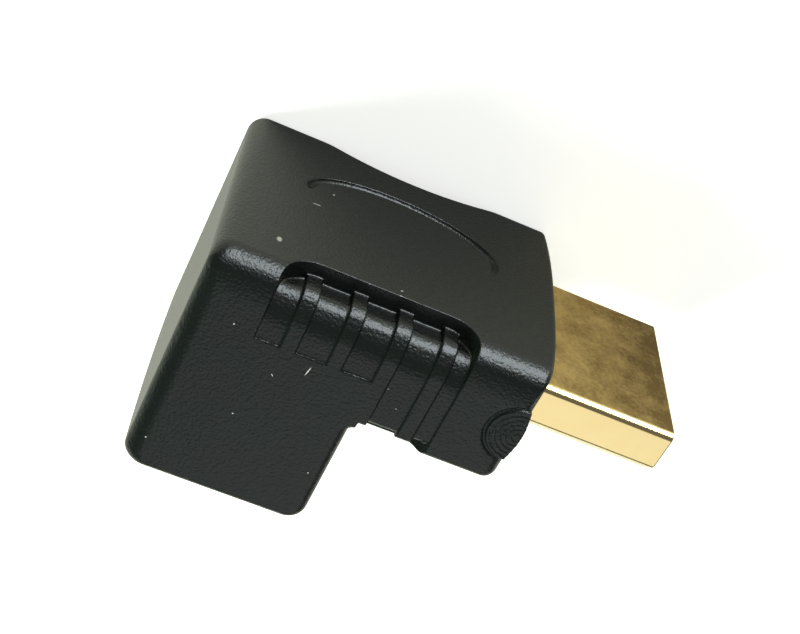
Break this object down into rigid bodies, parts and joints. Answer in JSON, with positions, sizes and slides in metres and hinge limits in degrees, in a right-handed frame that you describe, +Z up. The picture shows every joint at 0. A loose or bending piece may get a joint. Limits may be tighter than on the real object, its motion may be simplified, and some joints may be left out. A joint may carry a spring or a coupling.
{
  "type": "right angle digital video adapter",
  "caption": "Right angle adapter for digital video leads: a moulded black body with a ribbed grip, a gold plug on one leg and a socket in the end of the other.",
  "frame": {"origin": "centre of the bounding box at the side that it lies on", "axes": "+X along the plug to its tip, +Y the adapter's wide back face, the socket's mouth faces -Y, +Z up across the width to the side with the gate mark"},
  "size_m": [0.0341, 0.0184, 0.0198],
  "materials": {
    "black_pvc": "fine spark-eroded grain, satin",
    "inner_mould": "natural, satin",
    "gold_shell": "bright gold plating",
    "black_insulator": "satin",
    "circuit_board": "solder mask, semi gloss",
    "gold_contact": "bright gold plating"
  },
  "bodies": {
    "root": {"overmould": "black_pvc", "inner_mould": "inner_mould", "plug_shell": "gold_shell", "plug_insulator": "black_insulator", "circuit_board": "circuit_board", "socket_shell": "gold_shell", "socket_insulator": "black_insulator", "plug_contact_01": "gold_contact", "plug_contact_02": "gold_contact", "plug_contact_03": "gold_contact", "plug_contact_04": "gold_contact", "plug_contact_05": "gold_contact", "plug_contact_06": "gold_contact", "plug_contact_07": "gold_contact", "plug_contact_08": "gold_contact", "plug_contact_09": "gold_contact", "plug_contact_10": "gold_contact", "plug_contact_11": "gold_contact", "plug_contact_12": "gold_contact", "plug_contact_13": "gold_contact", "plug_contact_14": "gold_contact", "plug_contact_15": "gold_contact", "plug_contact_16": "gold_contact", "plug_contact_17": "gold_contact", "plug_contact_18": "gold_contact", "plug_contact_19": "gold_contact", "socket_contact_01": "gold_contact", "socket_contact_02": "gold_contact", "socket_contact_03": "gold_contact", "socket_contact_04": "gold_contact", "socket_contact_05": "gold_contact", "socket_contact_06": "gold_contact", "socket_contact_07": "gold_contact", "socket_contact_08": "gold_contact", "socket_contact_09": "gold_contact", "socket_contact_10": "gold_contact", "socket_contact_11": "gold_contact", "socket_contact_12": "gold_contact", "socket_contact_13": "gold_contact", "socket_contact_14": "gold_contact", "socket_contact_15": "gold_contact", "socket_contact_16": "gold_contact", "socket_contact_17": "gold_contact", "socket_contact_18": "gold_contact", "socket_contact_19": "gold_contact"}
  },
  "joints": []
}
